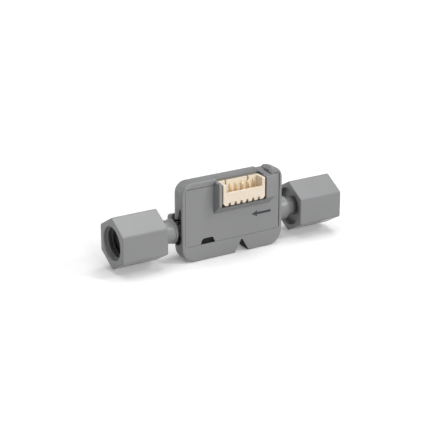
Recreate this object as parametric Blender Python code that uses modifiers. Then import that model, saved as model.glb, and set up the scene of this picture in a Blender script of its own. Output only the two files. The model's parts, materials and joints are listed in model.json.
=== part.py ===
"""Liquid flow sensor with two hexagonal ports and a six-way board connector.

The liquid runs along X through one straight moulded body, which enters at +X and
leaves at -X. A flat electronics housing sits round its middle: a front frame with an
inset cover, a back cover over the flow channel, and a circuit board between them.

Metres, +Z up. The origin is the middle of the whole part's footprint, on the surface
that the housing stands on. Every piece is placed from the flow axis by its parent.
"""

import math

import bmesh
import bpy
from mathutils import Matrix, Vector

MM = 0.001

# Where the flow axis runs, measured from the origin
AXIS_HEIGHT = 5.7 * MM
AXIS_BEHIND_MIDDLE = 0.45 * MM

# General
GAP = 0.3 * MM              # clearance between pieces that meet
CONTACT_GAP = 0.15 * MM     # clearance round a contact in its slot
OVERRUN = 0.5 * MM          # how far a cutter passes a face
ROUND_SIDES = 48
CORNER_STEPS = 6

# Flow body: hexagonal ports, necks and the channel block
LENGTH = 47.0 * MM
HEX_FLATS = 8.6 * MM
HEX_RADIUS = HEX_FLATS / math.sqrt(3)
FITTING_LENGTH = 9.2 * MM
HEX_EDGE = 0.2 * MM
NUT_CHAMFER_RADIUS = 4.7 * MM
NUT_CHAMFER_LENGTH = 0.15 * MM
PORT_RADIUS = 3.175 * MM
PORT_DEPTH = 6.5 * MM
PORT_MOUTH_RADIUS = 3.3 * MM
CHANNEL_RADIUS = 0.5 * MM
RECESS_RADIUS = 3.6 * MM
RECESS_DEPTH = 1.0 * MM
NECK_ROOT_RADIUS = 1.75 * MM
NECK_RADIUS = 2.2 * MM
NECK_END = 13.3 * MM
WALL_COLLAR_RADIUS = 2.35 * MM
WALL_COLLAR_LENGTH = 0.5 * MM
INNER_NECK_RADIUS = 1.5 * MM
INNER_NECK_START = 8.7 * MM
CHANNEL_TUBE_RADIUS = 1.2 * MM
BLOCK_HALF_LENGTH = 8.0 * MM
BLOCK_HALF_HEIGHT = 1.7 * MM
BLOCK_FRONT = -1.4 * MM
BLOCK_BACK = 1.4 * MM

# Housing, measured from the flow axis
HALF_WIDTH = 10.8 * MM
BOTTOM = -AXIS_HEIGHT
TOP = 9.6 * MM
FRONT = -3.2 * MM
BACK = 0.4 * MM
TOP_CORNER = 2.2 * MM
BOTTOM_CORNER = 2.8 * MM
FRONT_ROUND = 0.35 * MM
BACK_ROUND = 1.2 * MM
WALL = 0.7 * MM
RIM = 0.65 * MM
POCKET_BOTTOM = -2.5 * MM
POCKET_TOP = 8.55 * MM
POCKET_CORNER = 0.4 * MM
CAVITY_HALF_WIDTH = 8.9 * MM
CAVITY_TOP = 7.6 * MM
CAVITY_BOTTOM = -2.3 * MM
VEE_CENTRE = 1.9 * MM
VEE_HALF_WIDTH = 1.6 * MM
VEE_TIP = -2.9 * MM
NECK_SLOT_FRONT = -2.7 * MM
NECK_SLOT_HALF_HEIGHT = 2.5 * MM
NECK_SLOT_ROUND = 1.6 * MM
NECK_WINDOW_TOP = 4.9 * MM
NECK_WINDOW_BACK = -2.05 * MM
NECK_WINDOW_FOOT = -1.3 * MM

# Back cover: a bulge over the flow channel
BULGE_BACK = 2.3 * MM
BULGE_HALF_HEIGHT = 2.65 * MM
BULGE_FOOT = 2.95 * MM
BULGE_ROUND = 1.1 * MM

# Front cover, with the raised seat for the connector
COVER_THICKNESS = 0.6 * MM
COVER_BACK = FRONT + COVER_THICKNESS
SEAT_FRONT = -5.2 * MM
SEAT_TOP = 9.2 * MM
SEAT_LEFT = -4.2 * MM
SEAT_RIGHT = 8.0 * MM
RAMP_TOP = 4.75 * MM
RAMP_FOOT = 2.9 * MM
RAMP_WALL = 0.45 * MM
TAB_LEFT = 6.3 * MM
TAB_BACK = 0.1 * MM
TAB_TOP = 9.25 * MM
NOTCH_BACK = -1.4 * MM
LIP_FRONT = -2.0 * MM
LIP_UNDERSIDE = 8.9 * MM
PRY_SLOT_X = -5.55 * MM

# Circuit board
BOARD_FRONT = COVER_BACK + GAP
BOARD_THICKNESS = 0.6 * MM
BOARD_BACK = BOARD_FRONT + BOARD_THICKNESS
BOARD_HALF_WIDTH = 8.4 * MM

# Connector: six ways at 1.25 mm pitch, opening upwards
WAYS = 6
PITCH = 1.25 * MM
PLUG_WIDTH = 9.0 * MM
PLUG_CENTRE = 1.16 * MM
PLUG_BACK = COVER_BACK
PLUG_BOTTOM = 4.75 * MM
PLUG_TOP = 8.85 * MM
PLUG_END_WALL = 0.65 * MM
PLUG_SIDE_WALL = 0.42 * MM
PLUG_FLOOR = 5.6 * MM
PLUG_FRONT_TOP = 7.2 * MM
PIN = 0.3 * MM
PIN_Y = -3.35 * MM

COLLECTION = "liquid_flow_sensor"


def clear_scene():
    for obj in list(bpy.data.objects):
        bpy.data.objects.remove(obj, do_unlink=True)


def make_collection(name):
    collection = bpy.data.collections.new(name)
    bpy.context.scene.collection.children.link(collection)
    return collection


clear_scene()
PARTS = make_collection(COLLECTION)
CUTTERS = make_collection("cutters")
AXIS = bpy.data.objects.new("flow_axis", None)
AXIS.location = (0, AXIS_BEHIND_MIDDLE, AXIS_HEIGHT)
PARTS.objects.link(AXIS)


def material(name, colour, roughness, metallic=0.0):
    made = bpy.data.materials.new(name)
    made.use_nodes = True
    shader = made.node_tree.nodes["Principled BSDF"]
    shader.inputs["Base Color"].default_value = (*colour, 1.0)
    shader.inputs["Roughness"].default_value = roughness
    shader.inputs["Metallic"].default_value = metallic
    made.diffuse_color = (*colour, 1.0)
    return made


GREY_MOULDING = material("grey_moulding", (0.26, 0.265, 0.27), 0.42)
PALE_NYLON = material("pale_nylon", (0.86, 0.74, 0.60), 0.5)
GOLD_PLATE = material("gold_plate", (0.75, 0.52, 0.20), 0.3, 1.0)
TIN_PLATE = material("tin_plate", (0.65, 0.65, 0.66), 0.35, 1.0)
GREEN_BOARD = material("green_board", (0.05, 0.20, 0.09), 0.5)
SILICON = material("silicon", (0.10, 0.11, 0.14), 0.2, 0.6)
CHIP_PLASTIC = material("chip_plastic", (0.02, 0.02, 0.022), 0.55)
CERAMIC_TAN = material("ceramic_tan", (0.45, 0.30, 0.18), 0.5)
CERAMIC_BLACK = material("ceramic_black", (0.04, 0.04, 0.05), 0.5)


# Making shapes

def add_object(name, mesh, surface, at=(0, 0, 0), turn=(0, 0, 0)):
    """Put a mesh in the scene as a part, or as a cutter where it has no surface."""
    obj = bpy.data.objects.new(name, mesh)
    obj.parent = AXIS
    obj.location = at
    obj.rotation_euler = turn
    if surface is None:
        CUTTERS.objects.link(obj)
        obj.hide_render = True
        obj.display_type = "WIRE"
    else:
        PARTS.objects.link(obj)
        if not mesh.materials:
            mesh.materials.append(surface)
    return obj


def box(name, low, high, surface=None):
    """A box between two corners, with its origin at its middle."""
    low = Vector(low)
    high = Vector(high)
    size = high - low
    bm = bmesh.new()
    bmesh.ops.create_cube(bm, size=1.0)
    bmesh.ops.scale(bm, vec=size, verts=bm.verts)
    mesh = bpy.data.meshes.new(name)
    bm.to_mesh(mesh)
    bm.free()
    return add_object(name, mesh, surface, (low + high) / 2)


def rod(name, radius, start, end, axis, surface=None, sides=ROUND_SIDES):
    """A cylinder from start to end, two points along the axis X, Y or Z."""
    start = Vector(start)
    end = Vector(end)
    bm = bmesh.new()
    bmesh.ops.create_cone(bm, cap_ends=True, segments=sides, radius1=radius,
                          radius2=radius, depth=(end - start).length)
    mesh = bpy.data.meshes.new(name)
    bm.to_mesh(mesh)
    bm.free()
    turns = {"X": (0, math.pi / 2, 0), "Y": (math.pi / 2, 0, 0), "Z": (0, 0, 0)}
    return add_object(name, mesh, surface, (start + end) / 2, turns[axis])


def turned_along_x(name, profile, surface=None):
    """Turn a profile of (x, radius) points, left to right, round the flow axis."""
    bm = bmesh.new()
    verts = [bm.verts.new((radius, 0, x)) for x, radius in reversed(profile)]
    for a, b in zip(verts, verts[1:]):
        bm.edges.new((a, b))
    mesh = bpy.data.meshes.new(name)
    bm.to_mesh(mesh)
    bm.free()
    obj = add_object(name, mesh, surface, turn=(0, math.pi / 2, 0))
    screw = obj.modifiers.new("turn", "SCREW")
    screw.axis = "Z"
    screw.steps = ROUND_SIDES
    screw.render_steps = ROUND_SIDES
    screw.use_merge_vertices = True
    screw.merge_threshold = 0.000001
    return obj


def rounded(corners):
    """Points round a polygon of (x, y, corner radius) corners."""
    points = []
    for index, (x, y, radius) in enumerate(corners):
        corner = Vector((x, y))
        before = (Vector(corners[index - 1][:2]) - corner).normalized()
        after = (Vector(corners[(index + 1) % len(corners)][:2]) - corner).normalized()
        if radius == 0:
            points.append(corner)
            continue
        half = before.angle(after) / 2
        centre = corner + (before + after).normalized() * radius / math.sin(half)
        start = corner + before * radius / math.tan(half) - centre
        end = corner + after * radius / math.tan(half) - centre
        sweep = math.atan2(start.x * end.y - start.y * end.x, start.dot(end))
        for step in range(CORNER_STEPS + 1):
            turn = Matrix.Rotation(sweep * step / CORNER_STEPS, 2)
            points.append(centre + turn @ start)
    return points


# How an outline's own x, y and thickness lie: seen from the front, the side or the top
FACING = {
    "FRONT": ((math.pi / 2, 0, 0), lambda middle: (0, middle, 0)),
    "SIDE": ((math.pi / 2, 0, math.pi / 2), lambda middle: (middle, 0, 0)),
    "TOP": ((0, 0, 0), lambda middle: (0, 0, middle)),
}


def extruded(name, corners, start, end, facing, surface=None):
    """A flat outline given thickness between start and end, along the axis it faces."""
    curve = bpy.data.curves.new(name, "CURVE")
    curve.dimensions = "2D"
    curve.fill_mode = "BOTH"
    curve.extrude = abs(end - start) / 2
    points = rounded(corners)
    spline = curve.splines.new("POLY")
    spline.points.add(len(points) - 1)
    for point, (x, y) in zip(spline.points, points):
        point.co = (x, y, 0, 1)
    spline.use_cyclic_u = True

    turn, place = FACING[facing]
    drawn = bpy.data.objects.new(name + "_outline", curve)
    CUTTERS.objects.link(drawn)
    graph = bpy.context.evaluated_depsgraph_get()
    mesh = bpy.data.meshes.new_from_object(drawn.evaluated_get(graph))
    mesh.name = name
    bpy.data.objects.remove(drawn)
    bm = bmesh.new()
    bm.from_mesh(mesh)
    bmesh.ops.remove_doubles(bm, verts=bm.verts, dist=0.000001)
    bmesh.ops.dissolve_limit(bm, angle_limit=math.radians(0.5), verts=bm.verts, edges=bm.edges)
    bmesh.ops.recalc_face_normals(bm, faces=bm.faces)
    bm.to_mesh(mesh)
    bm.free()
    return add_object(name, mesh, surface, place((start + end) / 2), turn)


def boolean(obj, other, operation):
    step = obj.modifiers.new(other.name, "BOOLEAN")
    step.object = other
    step.operation = operation
    return obj


def cut(obj, *others):
    for other in others:
        boolean(obj, other, "DIFFERENCE")


def join(obj, *others):
    for other in others:
        boolean(obj, other, "UNION")


def round_edges(obj, width, segments, chosen=None):
    """Round an object's sharp edges, or those whose middle point the test accepts."""
    step = obj.modifiers.new("round_edges", "BEVEL")
    step.width = width
    step.segments = segments
    step.limit_method = "ANGLE"
    step.angle_limit = math.radians(40)
    if chosen is None:
        return
    step.limit_method = "WEIGHT"
    mesh = obj.data
    weights = mesh.attributes.new("bevel_weight_edge", "FLOAT", "EDGE")
    for edge in mesh.edges:
        ends = [mesh.vertices[index].co for index in edge.vertices]
        weights.data[edge.index].value = 1.0 if chosen(ends[0], ends[1]) else 0.0


def round_back(obj):
    """Round the rim of an extruded outline's back face with the larger radius."""
    step = obj.modifiers.new("round_back", "BEVEL")
    step.width = BACK_ROUND
    step.segments = 5
    step.limit_method = "VGROUP"
    back = min(vertex.co.z for vertex in obj.data.vertices)
    rim = obj.vertex_groups.new(name="back_rim")
    rim.add([v.index for v in obj.data.vertices if v.co.z < back + 0.01 * MM], 1.0, "REPLACE")
    step.vertex_group = rim.name


def shade_round(obj):
    obj.data.shade_smooth()
    obj.data.set_sharp_from_angle(angle=math.radians(30))


# Flow body

def hex_fitting(side, name, surface=None):
    """One hexagonal port, corners up and down, with nut chamfers at both ends."""
    outer = side * LENGTH / 2
    inner = side * (LENGTH / 2 - FITTING_LENGTH)
    bm = bmesh.new()
    bmesh.ops.create_cone(bm, cap_ends=True, segments=6, radius1=HEX_RADIUS,
                          radius2=HEX_RADIUS, depth=FITTING_LENGTH)
    bmesh.ops.rotate(bm, verts=bm.verts, matrix=Matrix.Rotation(math.radians(30), 3, "Z"))
    mesh = bpy.data.meshes.new(name)
    bm.to_mesh(mesh)
    bm.free()
    fitting = add_object(name, mesh, surface, ((outer + inner) / 2, 0, 0), (0, math.pi / 2, 0))
    round_edges(fitting, HEX_EDGE, 2)

    low, high = sorted((outer, inner))
    wide = HEX_RADIUS + OVERRUN
    slope = (wide - NUT_CHAMFER_RADIUS) * NUT_CHAMFER_LENGTH / (HEX_RADIUS - NUT_CHAMFER_RADIUS)
    chamfer = turned_along_x(name + "_chamfer", [
        (low, 0),
        (low, NUT_CHAMFER_RADIUS),
        (low + slope, wide),
        (high - slope, wide),
        (high, NUT_CHAMFER_RADIUS),
        (high, 0),
    ])
    boolean(fitting, chamfer, "INTERSECT")
    recess = rod(name + "_recess", RECESS_RADIUS, (inner - side * OVERRUN, 0, 0),
                 (inner + side * RECESS_DEPTH, 0, 0), "X")
    cut(fitting, recess)
    return fitting


def half_neck():
    """Radii of the neck from the channel block out to the port, as (x, radius)."""
    root = LENGTH / 2 - FITTING_LENGTH + RECESS_DEPTH + GAP
    wall_face = HALF_WIDTH + GAP
    collar_end = wall_face + WALL_COLLAR_LENGTH
    soft = 0.12 * MM
    return [
        (INNER_NECK_START, CHANNEL_TUBE_RADIUS),
        (INNER_NECK_START, INNER_NECK_RADIUS),
        (wall_face, INNER_NECK_RADIUS),
        (wall_face, WALL_COLLAR_RADIUS - soft),
        (wall_face + soft, WALL_COLLAR_RADIUS),
        (collar_end - soft, WALL_COLLAR_RADIUS),
        (collar_end, NECK_RADIUS),
        (NECK_END - soft, NECK_RADIUS),
        (NECK_END, NECK_RADIUS - soft),
        (NECK_END, NECK_ROOT_RADIUS),
        (root, NECK_ROOT_RADIUS),
        (root, 0),
    ]


def make_flow_body():
    right = half_neck()
    left = [(-x, radius) for x, radius in reversed(right)]
    body = turned_along_x("flow_body", left + right, GREY_MOULDING)
    shade_round(body)

    block = box("channel_block", (-BLOCK_HALF_LENGTH, BLOCK_FRONT, -BLOCK_HALF_HEIGHT),
                (BLOCK_HALF_LENGTH, BLOCK_BACK, BLOCK_HALF_HEIGHT))
    round_edges(block, 0.25 * MM, 2)
    join(body, block, hex_fitting(-1, "outlet_hex"), hex_fitting(1, "inlet_hex"))

    end = LENGTH / 2
    mouth = PORT_MOUTH_RADIUS - PORT_RADIUS
    side = [
        (end - PORT_DEPTH, CHANNEL_RADIUS),
        (end - PORT_DEPTH, PORT_RADIUS),
        (end - mouth, PORT_RADIUS),
        (end, PORT_MOUTH_RADIUS),
        (end + OVERRUN, PORT_MOUTH_RADIUS + OVERRUN),
        (end + OVERRUN, 0),
    ]
    other = [(-x, radius) for x, radius in reversed(side)]
    bore = turned_along_x("flow_bore", other + side)
    window = box("sensor_window", (-1.8 * MM, BLOCK_FRONT - OVERRUN, -1.3 * MM),
                 (1.8 * MM, -0.7 * MM, 1.3 * MM))
    cut(body, bore, window)


# Housing and covers

def front_outline(bottom, top, half_width, bottom_corner, top_corner):
    return [
        (-half_width, bottom, bottom_corner),
        (half_width, bottom, bottom_corner),
        (half_width, top, top_corner),
        (-half_width, top, top_corner),
    ]


def vee_notch():
    """The locating notch across the bottom, open downwards."""
    reach = VEE_TIP - (BOTTOM - OVERRUN)
    spread = VEE_HALF_WIDTH * reach / (VEE_TIP - BOTTOM)
    corners = [
        (VEE_CENTRE - spread, BOTTOM - OVERRUN, 0),
        (VEE_CENTRE + spread, BOTTOM - OVERRUN, 0),
        (VEE_CENTRE, VEE_TIP, 0.2 * MM),
    ]
    return extruded("bottom_vee", corners, FRONT - OVERRUN, BACK + OVERRUN, "FRONT")


def neck_slot(side, name):
    """The opening that the flow tube leaves through, with a narrow window above it."""
    end = side * (HALF_WIDTH + OVERRUN)
    start = side * (CAVITY_HALF_WIDTH - OVERRUN)
    return extruded(name, [
        (NECK_SLOT_FRONT, -NECK_SLOT_HALF_HEIGHT, NECK_SLOT_ROUND),
        (BACK + OVERRUN, -NECK_SLOT_HALF_HEIGHT, 0),
        (BACK + OVERRUN, NECK_SLOT_HALF_HEIGHT, 0),
        (NECK_WINDOW_FOOT, NECK_SLOT_HALF_HEIGHT, 0.3 * MM),
        (NECK_WINDOW_BACK, NECK_WINDOW_TOP - 0.4 * MM, 0.2 * MM),
        (NECK_SLOT_FRONT, NECK_WINDOW_TOP, 0.2 * MM),
    ], start, end, "SIDE")


def make_housing():
    outline = front_outline(BOTTOM, TOP, HALF_WIDTH, BOTTOM_CORNER, TOP_CORNER)
    housing = extruded("housing", outline, FRONT, BACK, "FRONT", GREY_MOULDING)
    half_depth = (BACK - FRONT) / 2
    round_edges(housing, FRONT_ROUND, 3, lambda a, b: min(a.z, b.z) > half_depth * 0.9)
    round_back(housing)
    shade_round(housing)

    pocket_outline = front_outline(POCKET_BOTTOM, POCKET_TOP, HALF_WIDTH - RIM,
                                   POCKET_CORNER, POCKET_CORNER)
    pocket = extruded("cover_pocket", pocket_outline, FRONT - OVERRUN, BOARD_FRONT, "FRONT")
    cavity = extruded("cavity",
                      front_outline(CAVITY_BOTTOM, CAVITY_TOP, CAVITY_HALF_WIDTH, 0.5 * MM, 1.0 * MM),
                      BOARD_FRONT - OVERRUN, BACK - WALL, "FRONT")
    channel_bay = box("channel_bay", (-CAVITY_HALF_WIDTH, BACK - WALL - OVERRUN, CAVITY_BOTTOM),
                      (CAVITY_HALF_WIDTH, BACK + OVERRUN, -CAVITY_BOTTOM))
    notch_left = PLUG_CENTRE - PLUG_WIDTH / 2 - GAP
    connector_notch = extruded("connector_notch", [
        (notch_left, FRONT - OVERRUN, 0),
        (SEAT_RIGHT + GAP, FRONT - OVERRUN, 0),
        (SEAT_RIGHT + GAP, BACK + OVERRUN, 0),
        (TAB_LEFT - GAP, BACK + OVERRUN, 0),
        (TAB_LEFT - GAP, LIP_FRONT, 0),
        (notch_left, LIP_FRONT, 0),
    ], CAVITY_TOP - 0.1 * MM, TOP + OVERRUN, "TOP")
    board_notch = box("board_notch", (notch_left, LIP_FRONT - OVERRUN, CAVITY_TOP - OVERRUN),
                      (TAB_LEFT - GAP, NOTCH_BACK, LIP_UNDERSIDE))
    cut(housing, pocket, cavity, channel_bay, connector_notch, board_notch, vee_notch())
    cut(housing, neck_slot(-1, "outlet_neck_slot"), neck_slot(1, "inlet_neck_slot"))

    for side, name in ((-1, "left"), (1, "right")):
        x = side * 7.2 * MM
        pillar = rod(name + "_board_pillar", 0.8 * MM, (x, BOARD_BACK + GAP, 6.2 * MM),
                     (x, BACK - WALL / 2, 6.2 * MM), "Y", sides=20)
        join(housing, pillar)


def make_back_cover():
    """A plate over the channel bay, rounded along its back and shaped round the necks."""
    start = BACK + GAP
    cover = extruded("back_cover", [
        (start, -BULGE_FOOT, 0),
        (BULGE_BACK, -BULGE_HALF_HEIGHT, BULGE_ROUND),
        (BULGE_BACK, BULGE_HALF_HEIGHT, BULGE_ROUND),
        (start, BULGE_FOOT, 0),
    ], -HALF_WIDTH, HALF_WIDTH, "SIDE", GREY_MOULDING)
    round_edges(cover, 0.1 * MM, 2)
    shade_round(cover)
    half_bay = BLOCK_HALF_HEIGHT + GAP
    bay = box("back_cover_bay", (-CAVITY_HALF_WIDTH, start - OVERRUN, -half_bay),
              (CAVITY_HALF_WIDTH, BLOCK_BACK + GAP, half_bay))
    necks = rod("neck_clearance", INNER_NECK_RADIUS + GAP, (-HALF_WIDTH - OVERRUN, 0, 0),
                (HALF_WIDTH + OVERRUN, 0, 0), "X")
    cut(cover, bay, necks)


def make_front_cover():
    """A flush plate with a raised, sloping-footed seat that the connector stands in."""
    edge = HALF_WIDTH - RIM - GAP
    outline = front_outline(POCKET_BOTTOM + GAP, POCKET_TOP - GAP, edge, 0.15 * MM, 0.15 * MM)
    cover = extruded("front_cover", outline, FRONT, COVER_BACK, "FRONT", GREY_MOULDING)
    shade_round(cover)

    inside = COVER_BACK - 0.1 * MM
    seat = extruded("connector_seat", [
        (SEAT_FRONT, RAMP_TOP, 0),
        (FRONT, RAMP_FOOT, 0),
        (inside, RAMP_FOOT, 0),
        (inside, POCKET_TOP - GAP, 0),
        (FRONT - GAP, POCKET_TOP - GAP, 0),
        (FRONT - GAP, SEAT_TOP, 0),
        (SEAT_FRONT, SEAT_TOP, 0),
    ], SEAT_LEFT, SEAT_RIGHT, "SIDE")
    round_edges(seat, 0.15 * MM, 2)
    left = PLUG_CENTRE - PLUG_WIDTH / 2 - GAP
    right = PLUG_CENTRE + PLUG_WIDTH / 2 + GAP
    tab = box("seat_tab", (TAB_LEFT, FRONT - 2 * GAP, CAVITY_TOP + GAP),
              (SEAT_RIGHT, TAB_BACK, TAB_TOP))
    join(cover, seat, tab)

    ramp = Vector((FRONT - SEAT_FRONT, RAMP_FOOT - RAMP_TOP)).normalized()
    inward = Vector((-ramp.y, ramp.x)) * RAMP_WALL
    ledge = PLUG_BOTTOM - GAP
    ledge_end = SEAT_FRONT + inward.x + (RAMP_TOP + inward.y - ledge) * ramp.x / -ramp.y
    opening = extruded("connector_opening", [
        (SEAT_FRONT - OVERRUN, ledge, 0),
        (ledge_end, ledge, 0),
        (FRONT + inward.x, RAMP_FOOT + inward.y, 0),
        (COVER_BACK + OVERRUN, RAMP_FOOT + inward.y, 0),
        (COVER_BACK + OVERRUN, TOP + OVERRUN, 0),
        (SEAT_FRONT - OVERRUN, TOP + OVERRUN, 0),
    ], left, right - 0.001 * MM, "SIDE")
    pry_slot = extruded("pry_slot", [
        (PRY_SLOT_X - 1.9 * MM, POCKET_BOTTOM - OVERRUN, 0),
        (PRY_SLOT_X + 2.2 * MM, POCKET_BOTTOM - OVERRUN, 0),
        (PRY_SLOT_X + 1.15 * MM, -1.4 * MM, 0.35 * MM),
        (PRY_SLOT_X - 0.95 * MM, -1.4 * MM, 0.6 * MM),
    ], FRONT - OVERRUN, COVER_BACK + OVERRUN, "FRONT")
    cut(cover, opening, pry_slot)


# Circuit board and what it carries

def make_board():
    left = PLUG_CENTRE - PLUG_WIDTH / 2
    right = PLUG_CENTRE + PLUG_WIDTH / 2
    corners = [
        (-3.0 * MM, -1.9 * MM, 0.3 * MM),
        (BOARD_HALF_WIDTH, -1.9 * MM, 0.5 * MM),
        (BOARD_HALF_WIDTH, CAVITY_TOP - GAP, 0.5 * MM),
        (right, CAVITY_TOP - GAP, 0.2 * MM),
        (right, 8.6 * MM, 0.2 * MM),
        (left, 8.6 * MM, 0.2 * MM),
        (left, CAVITY_TOP - GAP, 0.2 * MM),
        (-BOARD_HALF_WIDTH, CAVITY_TOP - GAP, 0.5 * MM),
        (-BOARD_HALF_WIDTH, -0.6 * MM, 0.5 * MM),
        (-3.0 * MM, -0.6 * MM, 0.3 * MM),
    ]
    extruded("circuit_board", corners, BOARD_FRONT, BOARD_BACK, "FRONT", GREEN_BOARD)


def board_part(name, x, z, size, surface, soft=0.04 * MM):
    """A component on the back of the board: size is its width, depth and height."""
    width, depth, height = size
    near = BOARD_BACK + GAP
    part = box(name, (x - width / 2, near, z - height / 2),
               (x + width / 2, near + depth, z + height / 2), surface)
    round_edges(part, soft, 1)


def make_components():
    die_front = BOARD_BACK + GAP
    box("sensor_die", (-1.5 * MM, die_front, -1.0 * MM), (1.5 * MM, -1.0 * MM, 1.0 * MM), SILICON)
    board_part("signal_chip", -3.2 * MM, 4.9 * MM, (3.0 * MM, 0.8 * MM, 3.0 * MM), CHIP_PLASTIC)
    board_part("voltage_regulator", 1.6 * MM, 5.2 * MM, (1.6 * MM, 0.7 * MM, 1.2 * MM), CHIP_PLASTIC)
    for index in range(4):
        column = -0.6 * MM + index * 1.5 * MM
        board_part("capacitor_%d" % (index + 1), column, 3.4 * MM,
                   (0.5 * MM, 0.5 * MM, 1.0 * MM), CERAMIC_TAN)
        board_part("resistor_%d" % (index + 1), -7.3 * MM + index * 0.95 * MM, 2.9 * MM,
                   (0.5 * MM, 0.35 * MM, 1.0 * MM), CERAMIC_BLACK)


# Connector

def way_positions():
    first = PLUG_CENTRE - PITCH * (WAYS - 1) / 2
    return [first + way * PITCH for way in range(WAYS)]


def make_connector():
    left = PLUG_CENTRE - PLUG_WIDTH / 2
    right = PLUG_CENTRE + PLUG_WIDTH / 2
    shell = box("connector_housing", (left, SEAT_FRONT, PLUG_BOTTOM), (right, PLUG_BACK, PLUG_TOP),
                PALE_NYLON)
    round_edges(shell, 0.08 * MM, 1)

    inner_left = left + PLUG_END_WALL
    inner_right = right - PLUG_END_WALL
    front_inside = SEAT_FRONT + PLUG_SIDE_WALL
    back_inside = PLUG_BACK - PLUG_SIDE_WALL
    mouth = box("plug_mouth", (inner_left, front_inside, PLUG_FLOOR),
                (inner_right, back_inside, PLUG_TOP + OVERRUN))
    low_front = extruded("low_front_wall", [
        (inner_left + 0.001 * MM, PLUG_FRONT_TOP, 0.3 * MM),
        (inner_right - 0.001 * MM, PLUG_FRONT_TOP, 0.3 * MM),
        (inner_right - 0.001 * MM, PLUG_TOP + OVERRUN, 0),
        (inner_left + 0.001 * MM, PLUG_TOP + OVERRUN, 0),
    ], SEAT_FRONT - OVERRUN, front_inside + 0.2 * MM, "FRONT")
    cut(shell, mouth, low_front)

    for index, x in enumerate((-1.55 * MM, 3.25 * MM)):
        key = box("key_slit_%d" % (index + 1), (x - 0.15 * MM, back_inside - 0.1 * MM, 7.0 * MM),
                  (x + 0.15 * MM, PLUG_BACK + OVERRUN, PLUG_TOP + OVERRUN))
        cut(shell, key)
    for index, x in enumerate(way_positions()):
        half = PIN / 2 + CONTACT_GAP
        slot = box("contact_slot_%d" % (index + 1), (x - half, PIN_Y - half, PLUG_BOTTOM - OVERRUN),
                   (x + half, PIN_Y + half, PLUG_FLOOR + 0.2 * MM))
        notch = extruded("front_notch_%d" % (index + 1), [
            (x - 0.26 * MM, PLUG_BOTTOM - OVERRUN, 0),
            (x + 0.26 * MM, PLUG_BOTTOM - OVERRUN, 0),
            (x + 0.26 * MM, PLUG_BOTTOM + 0.6 * MM, 0.2 * MM),
            (x - 0.26 * MM, PLUG_BOTTOM + 0.6 * MM, 0.2 * MM),
        ], SEAT_FRONT - OVERRUN, SEAT_FRONT + 0.8 * MM, "FRONT")
        cut(shell, slot, notch)
    for side, edge in ((-1, left), (1, right)):
        reach = 0.5 * MM
        corner = extruded("corner_cut_%s" % ("left" if side < 0 else "right"), [
            (edge + side * OVERRUN, PLUG_BOTTOM - OVERRUN, 0),
            (edge - side * reach, PLUG_BOTTOM - OVERRUN, 0),
            (edge - side * reach, PLUG_BOTTOM + 0.05 * MM, 0),
            (edge - side * 0.05 * MM, PLUG_BOTTOM + reach, 0),
            (edge + side * OVERRUN, PLUG_BOTTOM + reach, 0),
        ], SEAT_FRONT - OVERRUN, PLUG_BACK + OVERRUN, "FRONT")
        cut(shell, corner)
        tab_x = edge - side * 0.95 * MM
        half = 0.125 * MM + CONTACT_GAP
        tab_slot = box("anchor_slot_%s" % ("left" if side < 0 else "right"),
                       (tab_x - half, -3.5 * MM, PLUG_BOTTOM - OVERRUN),
                       (tab_x + half, PLUG_BACK + OVERRUN, 5.5 * MM))
        cut(shell, tab_slot)
        extruded("anchor_tab_%s" % ("left" if side < 0 else "right"), [
            (-3.3 * MM, 4.35 * MM, 0),
            (-2.85 * MM, 4.35 * MM, 0),
            (-2.85 * MM, 3.8 * MM, 0),
            (PLUG_BACK, 3.8 * MM, 0),
            (PLUG_BACK, 5.3 * MM, 0),
            (-3.3 * MM, 5.3 * MM, 0),
        ], tab_x - 0.125 * MM, tab_x + 0.125 * MM, "SIDE", TIN_PLATE)


def make_contacts():
    """Right-angle pins: a tapered tip up the mouth, a foot bent back to the board."""
    front = PIN_Y - PIN / 2
    back = PIN_Y + PIN / 2
    foot = PLUG_BACK - 0.25 * MM
    for index, x in enumerate(way_positions()):
        extruded("contact_%d" % (index + 1), [
            (front, 4.3 * MM, 0.1 * MM),
            (foot, 4.3 * MM, 0),
            (foot, 3.7 * MM, 0),
            (PLUG_BACK, 3.7 * MM, 0),
            (PLUG_BACK, 4.55 * MM, 0.1 * MM),
            (back, 4.55 * MM, 0),
            (back, 8.0 * MM, 0),
            (back - 0.09 * MM, 8.25 * MM, 0),
            (front + 0.09 * MM, 8.25 * MM, 0),
            (front, 8.0 * MM, 0),
        ], x - PIN / 2, x + PIN / 2, "SIDE", GOLD_PLATE)


make_flow_body()
make_housing()
make_back_cover()
make_front_cover()
make_board()
make_components()
make_connector()
make_contacts()
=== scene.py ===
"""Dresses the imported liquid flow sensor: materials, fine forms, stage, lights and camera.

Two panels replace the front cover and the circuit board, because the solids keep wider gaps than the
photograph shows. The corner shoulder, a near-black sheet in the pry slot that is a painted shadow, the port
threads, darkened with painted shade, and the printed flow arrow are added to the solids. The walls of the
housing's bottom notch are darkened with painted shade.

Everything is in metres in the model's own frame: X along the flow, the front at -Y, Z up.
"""

import json
import math

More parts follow.
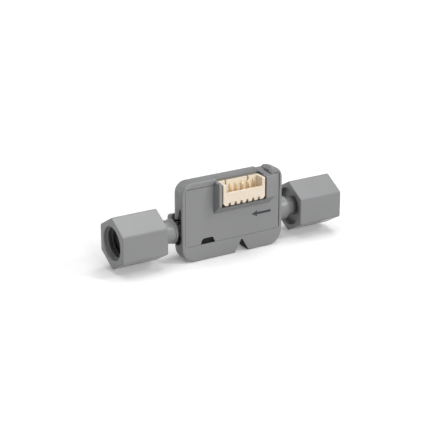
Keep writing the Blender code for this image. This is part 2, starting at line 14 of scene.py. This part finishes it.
import bmesh
import bpy
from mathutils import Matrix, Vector


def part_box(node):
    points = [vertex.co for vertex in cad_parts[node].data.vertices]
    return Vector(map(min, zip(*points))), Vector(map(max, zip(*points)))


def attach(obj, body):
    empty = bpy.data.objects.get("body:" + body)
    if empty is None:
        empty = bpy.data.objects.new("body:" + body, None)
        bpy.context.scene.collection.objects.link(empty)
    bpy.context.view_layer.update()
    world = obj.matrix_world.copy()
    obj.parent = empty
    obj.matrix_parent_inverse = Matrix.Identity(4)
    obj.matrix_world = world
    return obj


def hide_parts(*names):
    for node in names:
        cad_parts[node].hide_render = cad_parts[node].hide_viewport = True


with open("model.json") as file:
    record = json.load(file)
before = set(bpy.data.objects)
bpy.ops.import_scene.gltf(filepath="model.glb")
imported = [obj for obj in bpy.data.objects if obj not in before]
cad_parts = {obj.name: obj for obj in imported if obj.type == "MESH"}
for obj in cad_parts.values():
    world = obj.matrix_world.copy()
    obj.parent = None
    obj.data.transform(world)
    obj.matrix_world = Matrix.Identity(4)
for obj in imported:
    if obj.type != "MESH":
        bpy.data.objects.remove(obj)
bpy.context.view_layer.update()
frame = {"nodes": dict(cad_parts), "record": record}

MM = 0.001

# Flow axis, housing face and port faces
AXIS_Y = 0.45 * MM
AXIS_Z = 5.7 * MM
FACE_Y = AXIS_Y - 3.2 * MM
HALF_LENGTH = 23.5 * MM

# Meshes: what counts as one corner, as one flat face and as a sharp edge
WELD = 0.001 * MM
FLAT_ANGLE = math.radians(0.5)
CREASE_ANGLE = math.radians(35)

# Port threads: a ridge with its root just inside the bore's wall, faded out at both ends
THREAD_ROOT = 3.225 * MM
THREAD_MINOR = 2.72 * MM
THREAD_PITCH = 0.907 * MM
THREAD_TURNS = 6
THREAD_START = -0.05 * MM
HALF_PITCH = 0.5 * THREAD_PITCH
THREAD_FADE_TURNS = 0.5
STEPS_PER_TURN = 40
HALF_ROOT = 0.42 * THREAD_PITCH
HALF_CREST = 0.08 * THREAD_PITCH

# Flow arrow printed under the connector, which points from the inlet to the outlet
ARROW_TIP = 4.0 * MM
ARROW_TAIL = 8.2 * MM
ARROW_Z = AXIS_Z + 1.3 * MM
ARROW_HEAD = 1.25 * MM
ARROW_NECK = 0.92 * ARROW_HEAD
ARROW_HALF_HEAD = 0.6 * MM
ARROW_HALF_SHAFT = 0.23 * MM
PRINT_HEIGHT = 0.02 * MM
PRINT_DEPTH = 1.5 * PRINT_HEIGHT

# Seams round the front cover: the gap in the solids, and the hairlines that the photograph shows.
# A corner within the band belongs to that edge of the plate, and the angle picks the rim's true edges.
SEAM_GAP = 0.3 * MM
SEAM_LEFT = 0.06 * MM
SEAM_RIGHT = 0.17 * MM
SEAM_BOTTOM = 0.04 * MM
SEAM_TOP = 0.11 * MM
SEAM_ROUND = 0.06 * MM
RIM_ANGLE = 1.2
EDGE_BAND = 0.17 * MM
ROUND_SEGMENTS = 2
PLATE_TOP = AXIS_Z + 8.25 * MM

# Block of the front cover right of the connector: its drop at the front, its rise to the back, and the
# groove in its top
BLOCK_LEFT = 5.9 * MM
BLOCK_RIGHT = 8.0 * MM
BLOCK_FOOT = 8.8 * MM
BLOCK_DEPTH = 3.0 * MM
BLOCK_DROP = 0.35 * MM
BLOCK_RISE = 0.15 * MM
GROOVE_LOW = (7.4 * MM, AXIS_Y - 4.3 * MM, AXIS_Z + 8.4 * MM)
GROOVE_HIGH = (7.86 * MM, AXIS_Y - 1.5 * MM, AXIS_Z + 9.6 * MM)
GROOVE_TAPER = 0.03 * MM

# Shoulder between the groove and the housing's top edge: heights from the flow axis
SHOULDER_LEFT = GROOVE_HIGH[0]
SHOULDER_RIGHT = BLOCK_RIGHT + 0.27 * MM
SHOULDER_FOOT = 8.8 * MM
SHOULDER_LOW = 9.3 * MM
SHOULDER_TOP = 9.57 * MM
SHOULDER_SETBACK = 0.02 * MM
SHOULDER_LENGTH = 2.4 * MM
SHOULDER_BEVEL = 0.03 * MM

# Circuit board: its front face and its upper edge
BOARD_FRONT = AXIS_Y - 2.58 * MM
BOARD_TOP = AXIS_Z + 8.84 * MM
BOARD_BAND = 0.25 * MM

# Near-black sheet in the pry slot, a painted shadow for its dark inside: corners in X and Z from the flow
# axis
SHADOW_SHEET_FOOT = -2.47 * MM
SHADOW_SHEET_TOP = -1.43 * MM
SHADOW_SHEET_OUTLINE = [
    (-7.1 * MM, SHADOW_SHEET_FOOT),
    (-3.72 * MM, SHADOW_SHEET_FOOT),
    (-4.42 * MM, SHADOW_SHEET_TOP),
    (-6.45 * MM, SHADOW_SHEET_TOP),
]
SHADOW_SHEET_SETBACK = 0.02 * MM
SHADOW_SHEET_DEPTH = 0.55 * MM
SHADOW_SHEET_WALL = 0.03 * MM

# Notch in the housing's bottom edge, whose steep walls are matt and dark in the photograph: their dark
# colour is painted shade, and their roughness is raised
NOTCH_CENTRE = 1.9 * MM
NOTCH_REACH = 1.7 * MM
NOTCH_TOP = AXIS_Z - 2.85 * MM
NOTCH_SLOPE = 0.4
NOTCH_PAINTED_SHADE = (0.05, 0.05, 0.052)
NOTCH_ROUGHNESS = 0.85

# Grey plastic: its tone, how far flow marks darken it, and how far patches change its roughness
PLASTIC_GREY = (0.288, 0.290, 0.294)
PLASTIC_SHADE = 0.95
PLASTIC_DARKER = 0.93
PLASTIC_ROUGHNESS = 0.31
PLASTIC_SMOOTHER = 0.03
PLASTIC_ROUGHER = 0.04

# Circuit board: how far a face looks along Y where bare fibre gives way to solder mask
FIBRE_UP_TO = 0.4
MASK_FROM = 0.6
FIBRE_ROUGHNESS = 0.7
MASK_ROUGHNESS = 0.35

# Colours: the two tones that a material's noise mixes
NYLON = ((0.89, 0.78, 0.65), (0.85, 0.73, 0.58))
GOLD = ((0.92, 0.80, 0.54), (0.83, 0.69, 0.42))
TIN = ((0.68, 0.68, 0.69), (0.5, 0.5, 0.51))
SOLDER_MASK = ((0.03, 0.15, 0.06), (0.02, 0.11, 0.045))
BARE_FIBRE = ((0.30, 0.26, 0.20), (0.24, 0.205, 0.155))
SILICON = ((0.10, 0.11, 0.14), (0.07, 0.08, 0.11))
CHIP_BLACK = ((0.02, 0.02, 0.022), (0.03, 0.03, 0.032))
CERAMIC_TAN = ((0.45, 0.30, 0.18), (0.38, 0.25, 0.15))
CERAMIC_BLACK = ((0.04, 0.04, 0.05), (0.03, 0.03, 0.035))
# Near-black painted shadow for the inside of the pry slot
SLOT_SHADOW_BLACK = ((0.004, 0.004, 0.004), (0.008, 0.008, 0.009))
PRINT_INK = ((0.022, 0.025, 0.03), (0.035, 0.038, 0.044))

# The part of a noise texture's range that most of its points fall in
NOISE_LOW = 0.3
NOISE_HIGH = 0.7
SPECKLE_LOW = 0.35

# Places of the sockets in a colour Mix node
MIX_FACTOR = 0
MIX_COLOURS = (6, 7)
MIX_RESULT = 2

# Camera, placed as the photograph was taken: angles in degrees, lens and sensor in millimetres
CAMERA_AZIMUTH = -31.64
CAMERA_ELEVATION = 20.61
CAMERA_DISTANCE = 272.3 * MM
CAMERA_TARGET = Vector((-0.45 * MM, AXIS_Y, AXIS_Z - 0.37 * MM))
CAMERA_LENS = 118.96
CAMERA_SENSOR = 36.0
CAMERA_NEAR = 0.01
CAMERA_FAR = 20.0

# Softboxes: name, azimuth and elevation in degrees, side in metres, power in watts
LIGHTS = [
    ("overhead_softbox", 0, 90, 1.6, 15.0),
    ("front_card", 0, 20, 0.8, 12.4),
    ("right_spot_box", 45, 40, 0.35, 5.9),
    ("left_card", 270, 20, 0.8, 2.1),
    ("right_softbox", 112, 66, 0.6, 3.2),
    ("back_card", 205, 20, 1.4, 5.0),
]
LIGHT_DISTANCE = 1.5
LIGHT_TARGET = Vector((0, 0, AXIS_Z))

# Floor: what the camera sees, and what it gives back to the object. Its glow grows with the distance.
WHITE = (1.0, 1.0, 1.0, 1.0)
FLOOR_REACH = 3.0
FLOOR_COLOUR = (0.95, 0.95, 0.95, 1.0)
FLOOR_BOUNCE = (0.45, 0.45, 0.45, 1.0)
FLOOR_NEAR = 0.35
FLOOR_FAR = 1.2
FLOOR_GLOW = 0.15

# Backdrop: the heights over the horizon, as sines, where it starts to fade and where the dim room begins
BACKDROP_EDGE = math.sin(math.radians(10))
BACKDROP_END = math.sin(math.radians(16))
ROOM_STRENGTH = 0.1


# Materials

class Nodes:
    """A short way to lay out the nodes of a material or of the world."""

    def __init__(self, owner):
        self.owner = owner
        owner.use_nodes = True
        self.tree = owner.node_tree

    def add(self, kind, **settings):
        node = self.tree.nodes.new(kind)
        for key, value in settings.items():
            setattr(node, key, value)
        return node

    def feed(self, socket, value):
        """Links a socket to another node's output, or sets it to a plain value."""
        if isinstance(value, bpy.types.NodeSocket):
            self.tree.links.new(value, socket)
        else:
            socket.default_value = value

    def surface(self, **values):
        """Feeds the main shader's sockets, named with _ for a space, and gives back the material."""
        sockets = self.tree.nodes["Principled BSDF"].inputs
        for name, value in values.items():
            self.feed(sockets[name.replace("_", " ")], value)
        return self.owner

    def coordinates(self, kind="Object"):
        return self.add("ShaderNodeTexCoord").outputs[kind]

    def noise(self, scale, detail, roughness=0.6):
        node = self.add("ShaderNodeTexNoise")
        self.feed(node.inputs["Scale"], scale)
        self.feed(node.inputs["Detail"], detail)
        self.feed(node.inputs["Roughness"], roughness)
        self.feed(node.inputs["Vector"], self.coordinates())
        return node.outputs["Fac"]

    def map_range(self, value, low, high, to_low, to_high):
        node = self.add("ShaderNodeMapRange")
        self.feed(node.inputs["Value"], value)
        self.feed(node.inputs["From Min"], low)
        self.feed(node.inputs["From Max"], high)
        self.feed(node.inputs["To Min"], to_low)
        self.feed(node.inputs["To Max"], to_high)
        return node.outputs["Result"]

    def mottle(self, scale, detail, low=0.0, high=1.0, start=NOISE_LOW, roughness=0.6):
        """Noise whose usual range, from the start up, is stretched to the range from low to high."""
        return self.map_range(self.noise(scale, detail, roughness), start, NOISE_HIGH, low, high)

    def grain(self, scale, detail, strength, depth, over=None):
        """A bump from noise, laid over another bump where one is given."""
        node = self.add("ShaderNodeBump")
        self.feed(node.inputs["Strength"], strength)
        self.feed(node.inputs["Distance"], depth)
        self.feed(node.inputs["Height"], self.noise(scale, detail))
        if over is not None:
            self.feed(node.inputs["Normal"], over)
        return node.outputs["Normal"]

    def part(self, vector, axis):
        node = self.add("ShaderNodeSeparateXYZ")
        self.feed(node.inputs["Vector"], vector)
        return node.outputs[axis]

    def maths(self, operation, *values):
        node = self.add("ShaderNodeMath", operation=operation)
        for socket, value in zip(node.inputs, values):
            self.feed(socket, value)
        return node.outputs["Value"]

    def facing(self, axis):
        """How far a face looks along an axis, either way: from 0 to 1."""
        normal = self.add("ShaderNodeNewGeometry").outputs["Normal"]
        return self.maths("ABSOLUTE", self.part(normal, axis))

    def mix_colour(self, factor, *colours):
        """Mixes two colours, each a plain one or another node's output."""
        node = self.add("ShaderNodeMix", data_type="RGBA")
        self.feed(node.inputs[MIX_FACTOR], factor)
        for place, colour in zip(MIX_COLOURS, colours):
            linked = isinstance(colour, bpy.types.NodeSocket)
            self.feed(node.inputs[place], colour if linked else (*colour, 1.0))
        return node.outputs[MIX_RESULT]

    def seen_directly(self):
        """1 for what the camera sees, also in a reflection or through glass, and 0 for other light."""
        path = self.add("ShaderNodeLightPath").outputs
        mirrored = self.maths("MAXIMUM", path["Is Glossy Ray"], path["Is Transmission Ray"])
        unscattered = self.maths("LESS_THAN", path["Diffuse Depth"], 0.5)
        mirrored = self.maths("MULTIPLY", unscattered, mirrored)
        return self.maths("MAXIMUM", path["Is Camera Ray"], mirrored)

    def output_split(self, unseen, seen, output):
        """Gives the output one shader for light on the object, and one for what the camera sees."""
        mix = self.add("ShaderNodeMixShader")
        self.feed(mix.inputs["Fac"], self.seen_directly())
        self.feed(mix.inputs[1], unseen)
        self.feed(mix.inputs[2], seen)
        self.feed(self.tree.nodes[output].inputs["Surface"], mix.outputs["Shader"])


def new_material(name):
    """A new material's nodes, ready to be laid out."""
    return Nodes(bpy.data.materials.new(name))


def painted_shade_on_notch(made):
    """1 on the sloping walls of the notch in the housing's bottom edge, and 0 elsewhere: the mask of the
    painted shade.
    """
    from_centre = made.maths("SUBTRACT", made.part(made.coordinates(), "X"), NOTCH_CENTRE)
    beside = made.maths("LESS_THAN", made.maths("ABSOLUTE", from_centre), NOTCH_REACH)
    below = made.maths("LESS_THAN", made.part(made.coordinates(), "Z"), NOTCH_TOP)
    steep = made.maths("GREATER_THAN", made.facing("X"), NOTCH_SLOPE)
    return made.maths("MULTIPLY", steep, made.maths("MULTIPLY", beside, below))


def grey_plastic(name, shade=PLASTIC_SHADE, roughness=PLASTIC_ROUGHNESS, paint_notch_shade=False):
    """Satin glass-filled plastic: faint flow marks, a fine moulded grain and soft changes of gloss, and,
    for the housing, painted shade on the notch walls.
    """
    made = new_material(name)
    base = [channel * shade for channel in PLASTIC_GREY]
    dark = [channel * PLASTIC_DARKER for channel in base]
    colour = made.mix_colour(made.mottle(scale=90, detail=3, roughness=0.5), base, dark)
    smooth, rough = roughness - PLASTIC_SMOOTHER, roughness + PLASTIC_ROUGHER
    gloss = made.mottle(scale=700, detail=4, low=smooth, high=rough)
    # Painted shade: a near-black colour on the notch walls, with a higher roughness
    if paint_notch_shade:
        walls = painted_shade_on_notch(made)
        colour = made.mix_colour(walls, colour, NOTCH_PAINTED_SHADE)
        gloss = made.maths("MAXIMUM", gloss, made.maths("MULTIPLY", walls, NOTCH_ROUGHNESS))
    moulded = made.grain(scale=9000, detail=3, strength=0.12, depth=0.02 * MM)
    waves = made.grain(scale=320, detail=2, strength=0.05, depth=0.1 * MM, over=moulded)
    return made.surface(Base_Color=colour, Roughness=gloss, Normal=waves)


def cream_nylon():
    """Slightly translucent nylon, with faint clouding and a fine moulded grain."""
    made = new_material("cream_nylon")
    return made.surface(
        Base_Color=made.mix_colour(made.mottle(scale=600, detail=4), *NYLON),
        Roughness=made.mottle(scale=1500, detail=3, low=0.42, high=0.56),
        Normal=made.grain(scale=7000, detail=2, strength=0.12, depth=0.02 * MM),
        Subsurface_Weight=0.2,
        Subsurface_Radius=(1.0 * MM, 0.8 * MM, 0.5 * MM),
        Subsurface_Scale=0.6,
    )


def plated_metal(name, tones):
    """Plated strip, a little worn and dulled in patches."""
    made = new_material(name)
    return made.surface(
        Base_Color=made.mix_colour(made.mottle(scale=2500, detail=4, start=SPECKLE_LOW), *tones),
        Roughness=made.mottle(scale=3000, detail=3, low=0.22, high=0.4),
        Metallic=1.0,
    )


def speckled(name, tones, low, high, scale=900):
    """A surface with fine changes of tone, a roughness between low and high, and a finer grain."""
    made = new_material(name)
    return made.surface(
        Base_Color=made.mix_colour(made.mottle(scale, detail=5, start=SPECKLE_LOW), *tones),
        Roughness=made.mottle(scale * 2, detail=3, low=low, high=high),
        Normal=made.grain(scale * 4, detail=2, strength=0.15, depth=0.03 * MM),
    )


def board_laminate():
    """Green solder mask on the broad faces, and bare tan fibre on the cut edges."""
    made = new_material("board_laminate")
    broad = made.map_range(made.facing("Y"), FIBRE_UP_TO, MASK_FROM, 0.0, 1.0)
    fibre = made.mix_colour(made.mottle(scale=1800, detail=4), *BARE_FIBRE)
    mask = made.mix_colour(made.mottle(scale=900, detail=4), *SOLDER_MASK)
    return made.surface(
        Base_Color=made.mix_colour(broad, fibre, mask),
        Roughness=made.map_range(broad, 0.0, 1.0, FIBRE_ROUGHNESS, MASK_ROUGHNESS),
        Normal=made.grain(scale=3500, detail=2, strength=0.15, depth=0.03 * MM),
    )


MATERIALS = {
    "grey_moulding": grey_plastic("moulded_grey"),
    "pale_nylon": cream_nylon(),
    "gold_plate": plated_metal("gold_plated", GOLD),
    "tin_plate": plated_metal("tin_plated", TIN),
    "green_board": board_laminate(),
    "silicon": speckled("silicon_die", SILICON, 0.12, 0.2),
    "chip_plastic": speckled("chip_black", CHIP_BLACK, 0.5, 0.65),
    "ceramic_tan": speckled("ceramic_tan", CERAMIC_TAN, 0.4, 0.5),
    "ceramic_black": speckled("ceramic_black", CERAMIC_BLACK, 0.4, 0.5),
}
# The housing's grey carries painted shade on its notch walls
HOUSING_GREY_NOTCH_SHADE = grey_plastic("housing_grey_notch_shade", paint_notch_shade=True)
# Port threads at half the grey's lightness: painted shade deep inside the bores
THREAD_GREY_PAINTED_SHADE = grey_plastic("thread_grey_painted_shade", shade=0.5, roughness=0.45)
# Painted shadow: the near-black sheet in the pry slot stands for its dark inside
SLOT_SHADOW_SURFACE = speckled("pry_slot_painted_shadow", SLOT_SHADOW_BLACK, 0.85, 0.95)
ARROW_INK = speckled("arrow_ink", PRINT_INK, 0.5, 0.62, scale=2500)


def dress_nodes():
    """Gives every solid the material of its slot. The housing's has painted shade on the notch walls."""
    slots = {part["node"]: part["material_slot"] for part in frame["record"]["subparts"]}
    for name, node in frame["nodes"].items():
        node.data.materials.clear()
        node.data.materials.append(HOUSING_GREY_NOTCH_SHADE if name == "housing" else MATERIALS[slots[name]])


# Mesh helpers

def add_object(name, data):
    added = bpy.data.objects.new(name, data)
    bpy.context.scene.collection.objects.link(added)
    return added


def new_piece(name, mesh, surface):
    """A piece of the part with its surface, riding on the part's one body."""
    piece = add_object(name, mesh)
    mesh.materials.append(surface)
    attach(piece, "root")
    return piece


def plain_mesh(bm, name):
    mesh = bpy.data.meshes.new(name)
    bm.to_mesh(mesh)
    bm.free()
    return mesh


def smooth_mesh(bm, name):
    """The mesh with smooth shading, but for its sharp edges."""
    mesh = plain_mesh(bm, name)
    mesh.shade_smooth()
    mesh.set_sharp_from_angle(angle=CREASE_ANGLE)
    return mesh


def welded_copy(node):
    """A node's mesh as a bmesh with shared corners and whole flat faces."""
    bm = bmesh.new()
    bm.from_mesh(frame["nodes"][node].data)
    bmesh.ops.remove_doubles(bm, verts=bm.verts, dist=WELD)
    bmesh.ops.dissolve_limit(bm, angle_limit=FLAT_ANGLE, verts=bm.verts, edges=bm.edges)
    return bm


def side_faces(bm, near, far):
    """Joins two rings of corners with a face for each side."""
    for corner in range(len(near)):
        other = (corner + 1) % len(near)
        bm.faces.new((near[corner], near[other], far[other], far[corner]))


def prism(outline, base, front, depth):
    """An outline of corners in X and in Z over a base, from the front back by a depth, as a bmesh."""
    bm = bmesh.new()
    near = [bm.verts.new((x, front, base + z)) for x, z in outline]
    far = [bm.verts.new((x, front + depth, base + z)) for x, z in outline]
    bm.faces.new(near)
    bm.faces.new(list(reversed(far)))
    side_faces(bm, near, far)
    bmesh.ops.recalc_face_normals(bm, faces=bm.faces)
    return bm


def tapered_block(name, low, high, taper):
    """A block between two corners, its lower face drawn in on each side by the taper."""
    bm = bmesh.new()
    bmesh.ops.create_cube(bm, size=1.0)
    for vertex in bm.verts:
        inset = taper if vertex.co.z < 0 else 0.0
        for axis, pull in enumerate((inset, inset, 0.0)):
            upper = vertex.co[axis] > 0
            vertex.co[axis] = high[axis] - pull if upper else low[axis] + pull
    return plain_mesh(bm, name)


def carve(piece, cutter_mesh):
    """Takes the cutter's shape out of a piece of the scene, and leaves no cutter behind."""
    cutter = add_object("cutter", cutter_mesh)
    boolean = piece.modifiers.new("carve", "BOOLEAN")
    boolean.operation = "DIFFERENCE"
    boolean.solver = "EXACT"
    boolean.object = cutter
    graph = bpy.context.evaluated_depsgraph_get()
    carved = bpy.data.meshes.new_from_object(piece.evaluated_get(graph))
    piece.modifiers.remove(boolean)
    piece.data = carved
    bpy.data.objects.remove(cutter)


# Front panel

def lower_block_top(place):
    """Lowers the block right of the connector, most at its front, and widens it behind the face."""
    if place.x < BLOCK_LEFT or place.z - AXIS_Z < BLOCK_FOOT:
        return
    back = min(1.0, max(0.0, (place.y - FACE_Y) / BLOCK_DEPTH))
    place.z -= BLOCK_DROP - BLOCK_RISE * back
    if place.y > FACE_Y and place.x > BLOCK_RIGHT - EDGE_BAND:
        place.x = SHOULDER_RIGHT


def move_to_seams(place, low, high):
    """Moves a corner of the plate out to its seams, and says if it was on the rim of the plate's face."""
    left = place.x < low.x + EDGE_BAND
    right = place.x > high.x - EDGE_BAND
    bottom = place.z < low.z + EDGE_BAND
    top = abs(place.z - PLATE_TOP) < EDGE_BAND
    on_rim = any((left, right, bottom, top)) and abs(place.y - FACE_Y) < WELD
    place.x += right * (SEAM_GAP - SEAM_RIGHT) - left * (SEAM_GAP - SEAM_LEFT)
    place.z += top * (SEAM_GAP - SEAM_TOP) - bottom * (SEAM_GAP - SEAM_BOTTOM)
    return on_rim


def front_panel_mesh():
    bm = welded_copy("front_cover")
    low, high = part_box("front_cover")
    rim = set()
    for vertex in bm.verts:
        lower_block_top(vertex.co)
        raised = vertex.co.y < FACE_Y - EDGE_BAND
        if not raised and move_to_seams(vertex.co, low, high):
            rim.add(vertex)
    softened = [
        edge for edge in bm.edges
        if set(edge.verts) <= rim and edge.calc_face_angle(0) > RIM_ANGLE
    ]
    bmesh.ops.bevel(
        bm, geom=softened, offset=SEAM_ROUND, segments=ROUND_SEGMENTS, profile=0.5,
        affect="EDGES", clamp_overlap=True,
    )
    return smooth_mesh(bm, "front_panel")


def make_front_panel():
    """The front cover with its true hairline seams and softened edges, where the solid keeps a wide gap."""
    panel = new_piece("front_panel", front_panel_mesh(), MATERIALS["grey_moulding"])
    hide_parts("front_cover")
    carve(panel, tapered_block("groove", GROOVE_LOW, GROOVE_HIGH, GROOVE_TAPER))
    even = panel.modifiers.new("even_shading", "WEIGHTED_NORMAL")
    even.keep_sharp = True


# Other pieces

def make_board_panel():
    """The circuit board, whose bare upper edge fills the gap behind the connector in the photograph."""
    bm = welded_copy("circuit_board")
    low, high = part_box("circuit_board")
    for vertex in bm.verts:
        if vertex.co.y < low.y + WELD:
            vertex.co.y = BOARD_FRONT
        if vertex.co.z > high.z - BOARD_BAND:
            vertex.co.z += BOARD_TOP - high.z
    mesh = smooth_mesh(bm, "board_panel")
    panel = new_piece("board_panel", mesh, MATERIALS["green_board"])
    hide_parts("circuit_board")


def make_corner_shoulder():
    """The sloping shoulder between the block's groove and the housing's top edge."""
    outline = [
        (SHOULDER_LEFT, SHOULDER_FOOT),
        (SHOULDER_RIGHT, SHOULDER_FOOT),
        (SHOULDER_RIGHT, SHOULDER_TOP),
        (SHOULDER_LEFT, SHOULDER_LOW),
    ]
    bm = prism(outline, AXIS_Z, FACE_Y + SHOULDER_SETBACK, SHOULDER_LENGTH)
    bmesh.ops.bevel(bm, geom=list(bm.edges), offset=SHOULDER_BEVEL, segments=1, affect="EDGES")
    mesh = smooth_mesh(bm, "corner_shoulder")
    new_piece("corner_shoulder", mesh, MATERIALS["grey_moulding"])


def make_slot_shadow_sheet():
    """A near-black sheet in the pry slot, open to the front: a painted shadow for the slot's inside, which
    the photograph shows black to the seam.
    """
    bm = prism(SHADOW_SHEET_OUTLINE, AXIS_Z, FACE_Y + SHADOW_SHEET_SETBACK, SHADOW_SHEET_DEPTH)
    open_side = min(bm.faces, key=lambda found: found.calc_center_median().y)
    bmesh.ops.inset_region(bm, faces=[open_side], thickness=SHADOW_SHEET_WALL)
    bmesh.ops.translate(bm, verts=open_side.verts, vec=(0, SHADOW_SHEET_DEPTH - SHADOW_SHEET_WALL, 0))
    bmesh.ops.recalc_face_normals(bm, faces=bm.faces)
    new_piece("pry_slot_shadow_sheet", plain_mesh(bm, "pry_slot_shadow_sheet"), SLOT_SHADOW_SURFACE)


def thread_rings(bm, side):
    """The ridge's sections along its helix, each a ring of corners."""
    total = THREAD_TURNS * STEPS_PER_TURN
    fade_steps = THREAD_FADE_TURNS * STEPS_PER_TURN
    section = [
        (-HALF_ROOT, THREAD_ROOT),
        (-HALF_CREST, THREAD_MINOR),
        (HALF_CREST, THREAD_MINOR),
        (HALF_ROOT, THREAD_ROOT),
    ]
    rings = []
    for index in range(total + 1):
        turns = index / STEPS_PER_TURN
        angle = 2 * math.pi * index / STEPS_PER_TURN
        depth = THREAD_START + HALF_PITCH + THREAD_PITCH * turns
        fade = min(1.0, index / fade_steps, (total - index) / fade_steps)
        ring = []
        for offset, full_radius in section:
            radius = THREAD_ROOT - (THREAD_ROOT - full_radius) * fade
            ring.append(bm.verts.new((
                side * (HALF_LENGTH - depth - offset),
                AXIS_Y + side * radius * math.cos(angle),
                AXIS_Z + radius * math.sin(angle),
            )))
        rings.append(ring)
    return rings


def thread_mesh(name, side):
    """A helical ridge inside one port, as a closed strip of trapezoid sections."""
    bm = bmesh.new()
    rings = thread_rings(bm, side)
    for near, far in zip(rings, rings[1:]):
        side_faces(bm, near, far)
    bm.faces.new(rings[0])
    bm.faces.new(list(reversed(rings[-1])))
    bmesh.ops.recalc_face_normals(bm, faces=bm.faces)
    return smooth_mesh(bm, name)


def make_threads():
    for side, name in ((-1, "outlet_thread"), (1, "inlet_thread")):
        new_piece(name, thread_mesh(name, side), THREAD_GREY_PAINTED_SHADE)


def make_arrow():
    """The printed flow arrow: a thin layer on the housing's face, with its back just under the face."""
    outline = [
        (ARROW_TIP, 0),
        (ARROW_TIP + ARROW_HEAD, -ARROW_HALF_HEAD),
        (ARROW_TIP + ARROW_NECK, -ARROW_HALF_SHAFT),
        (ARROW_TAIL, -ARROW_HALF_SHAFT),
        (ARROW_TAIL, ARROW_HALF_SHAFT),
        (ARROW_TIP + ARROW_NECK, ARROW_HALF_SHAFT),
        (ARROW_TIP + ARROW_HEAD, ARROW_HALF_HEAD),
    ]
    bm = prism(outline, ARROW_Z, FACE_Y - PRINT_HEIGHT, PRINT_DEPTH)
    new_piece("flow_arrow", plain_mesh(bm, "flow_arrow"), ARROW_INK)


# Stage

def floor_material():
    """White to the camera, with the object's soft shadow kept, and a plain grey for light on the object."""
    made = new_material("white_floor")
    made.tree.nodes.remove(made.tree.nodes["Principled BSDF"])
    matt = made.add("ShaderNodeBsdfDiffuse")
    made.feed(matt.inputs["Color"], FLOOR_COLOUR)
    dimmer = made.add("ShaderNodeBsdfDiffuse")
    made.feed(dimmer.inputs["Color"], FLOOR_BOUNCE)
    away = made.add("ShaderNodeVectorMath", operation="LENGTH")
    made.feed(away.inputs[0], made.coordinates())
    glow = made.add("ShaderNodeEmission")
    strength = made.map_range(away.outputs["Value"], FLOOR_NEAR, FLOOR_FAR, FLOOR_GLOW, 1.0)
    made.feed(glow.inputs["Strength"], strength)
    seen = made.add("ShaderNodeAddShader")
    made.feed(seen.inputs[0], matt.outputs["BSDF"])
    made.feed(seen.inputs[1], glow.outputs["Emission"])
    made.output_split(dimmer.outputs["BSDF"], seen.outputs["Shader"], "Material Output")
    return made.owner


def make_floor():
    bm = bmesh.new()
    bmesh.ops.create_grid(bm, x_segments=1, y_segments=1, size=FLOOR_REACH)
    floor = add_object("floor", plain_mesh(bm, "floor"))
    floor.data.materials.append(floor_material())


def make_world():
    """A low white backdrop round the floor, with a dim room above it: seen, but it lights nothing."""
    made = Nodes(bpy.data.worlds.new("studio"))
    bpy.context.scene.world = made.owner
    height = made.part(made.coordinates("Generated"), "Z")
    backdrop = made.map_range(height, BACKDROP_EDGE, BACKDROP_END, 1.0, ROOM_STRENGTH)
    unlit = made.tree.nodes["Background"]
    white = made.add("ShaderNodeBackground")
    for node, strength in ((unlit, 0.0), (white, backdrop)):
        made.feed(node.inputs["Color"], WHITE)
        made.feed(node.inputs["Strength"], strength)
    made.output_split(unlit.outputs["Background"], white.outputs["Background"], "World Output")


# Lights and camera

def place_facing(item, target, azimuth, elevation, distance):
    """Puts a lamp or camera round a target, facing it: azimuth 0 is in front, and 90 is at +X."""
    azimuth, elevation = math.radians(azimuth), math.radians(elevation)
    outward = Vector((
        math.sin(azimuth) * math.cos(elevation),
        -math.cos(azimuth) * math.cos(elevation),
        math.sin(elevation),
    ))
    item.location = target + outward * distance
    item.rotation_mode = "QUATERNION"
    item.rotation_quaternion = outward.to_track_quat("Z", "Y")


def make_lights():
    for name, azimuth, elevation, side, power in LIGHTS:
        data = bpy.data.lights.new(name, "AREA")
        data.shape = "SQUARE"
        data.size = side
        data.energy = power
        place_facing(add_object(name, data), LIGHT_TARGET, azimuth, elevation, LIGHT_DISTANCE)


def make_camera():
    data = bpy.data.cameras.new("camera")
    data.lens = CAMERA_LENS
    data.sensor_width = CAMERA_SENSOR
    data.clip_start = CAMERA_NEAR
    data.clip_end = CAMERA_FAR
    camera = add_object("camera", data)
    place_facing(camera, CAMERA_TARGET, CAMERA_AZIMUTH, CAMERA_ELEVATION, CAMERA_DISTANCE)
    bpy.context.scene.camera = camera


bpy.context.scene.view_settings.view_transform = "Standard"
dress_nodes()
make_front_panel()
make_board_panel()
make_corner_shoulder()
make_slot_shadow_sheet()
make_threads()
make_arrow()
make_floor()
make_lights()
make_world()
make_camera()
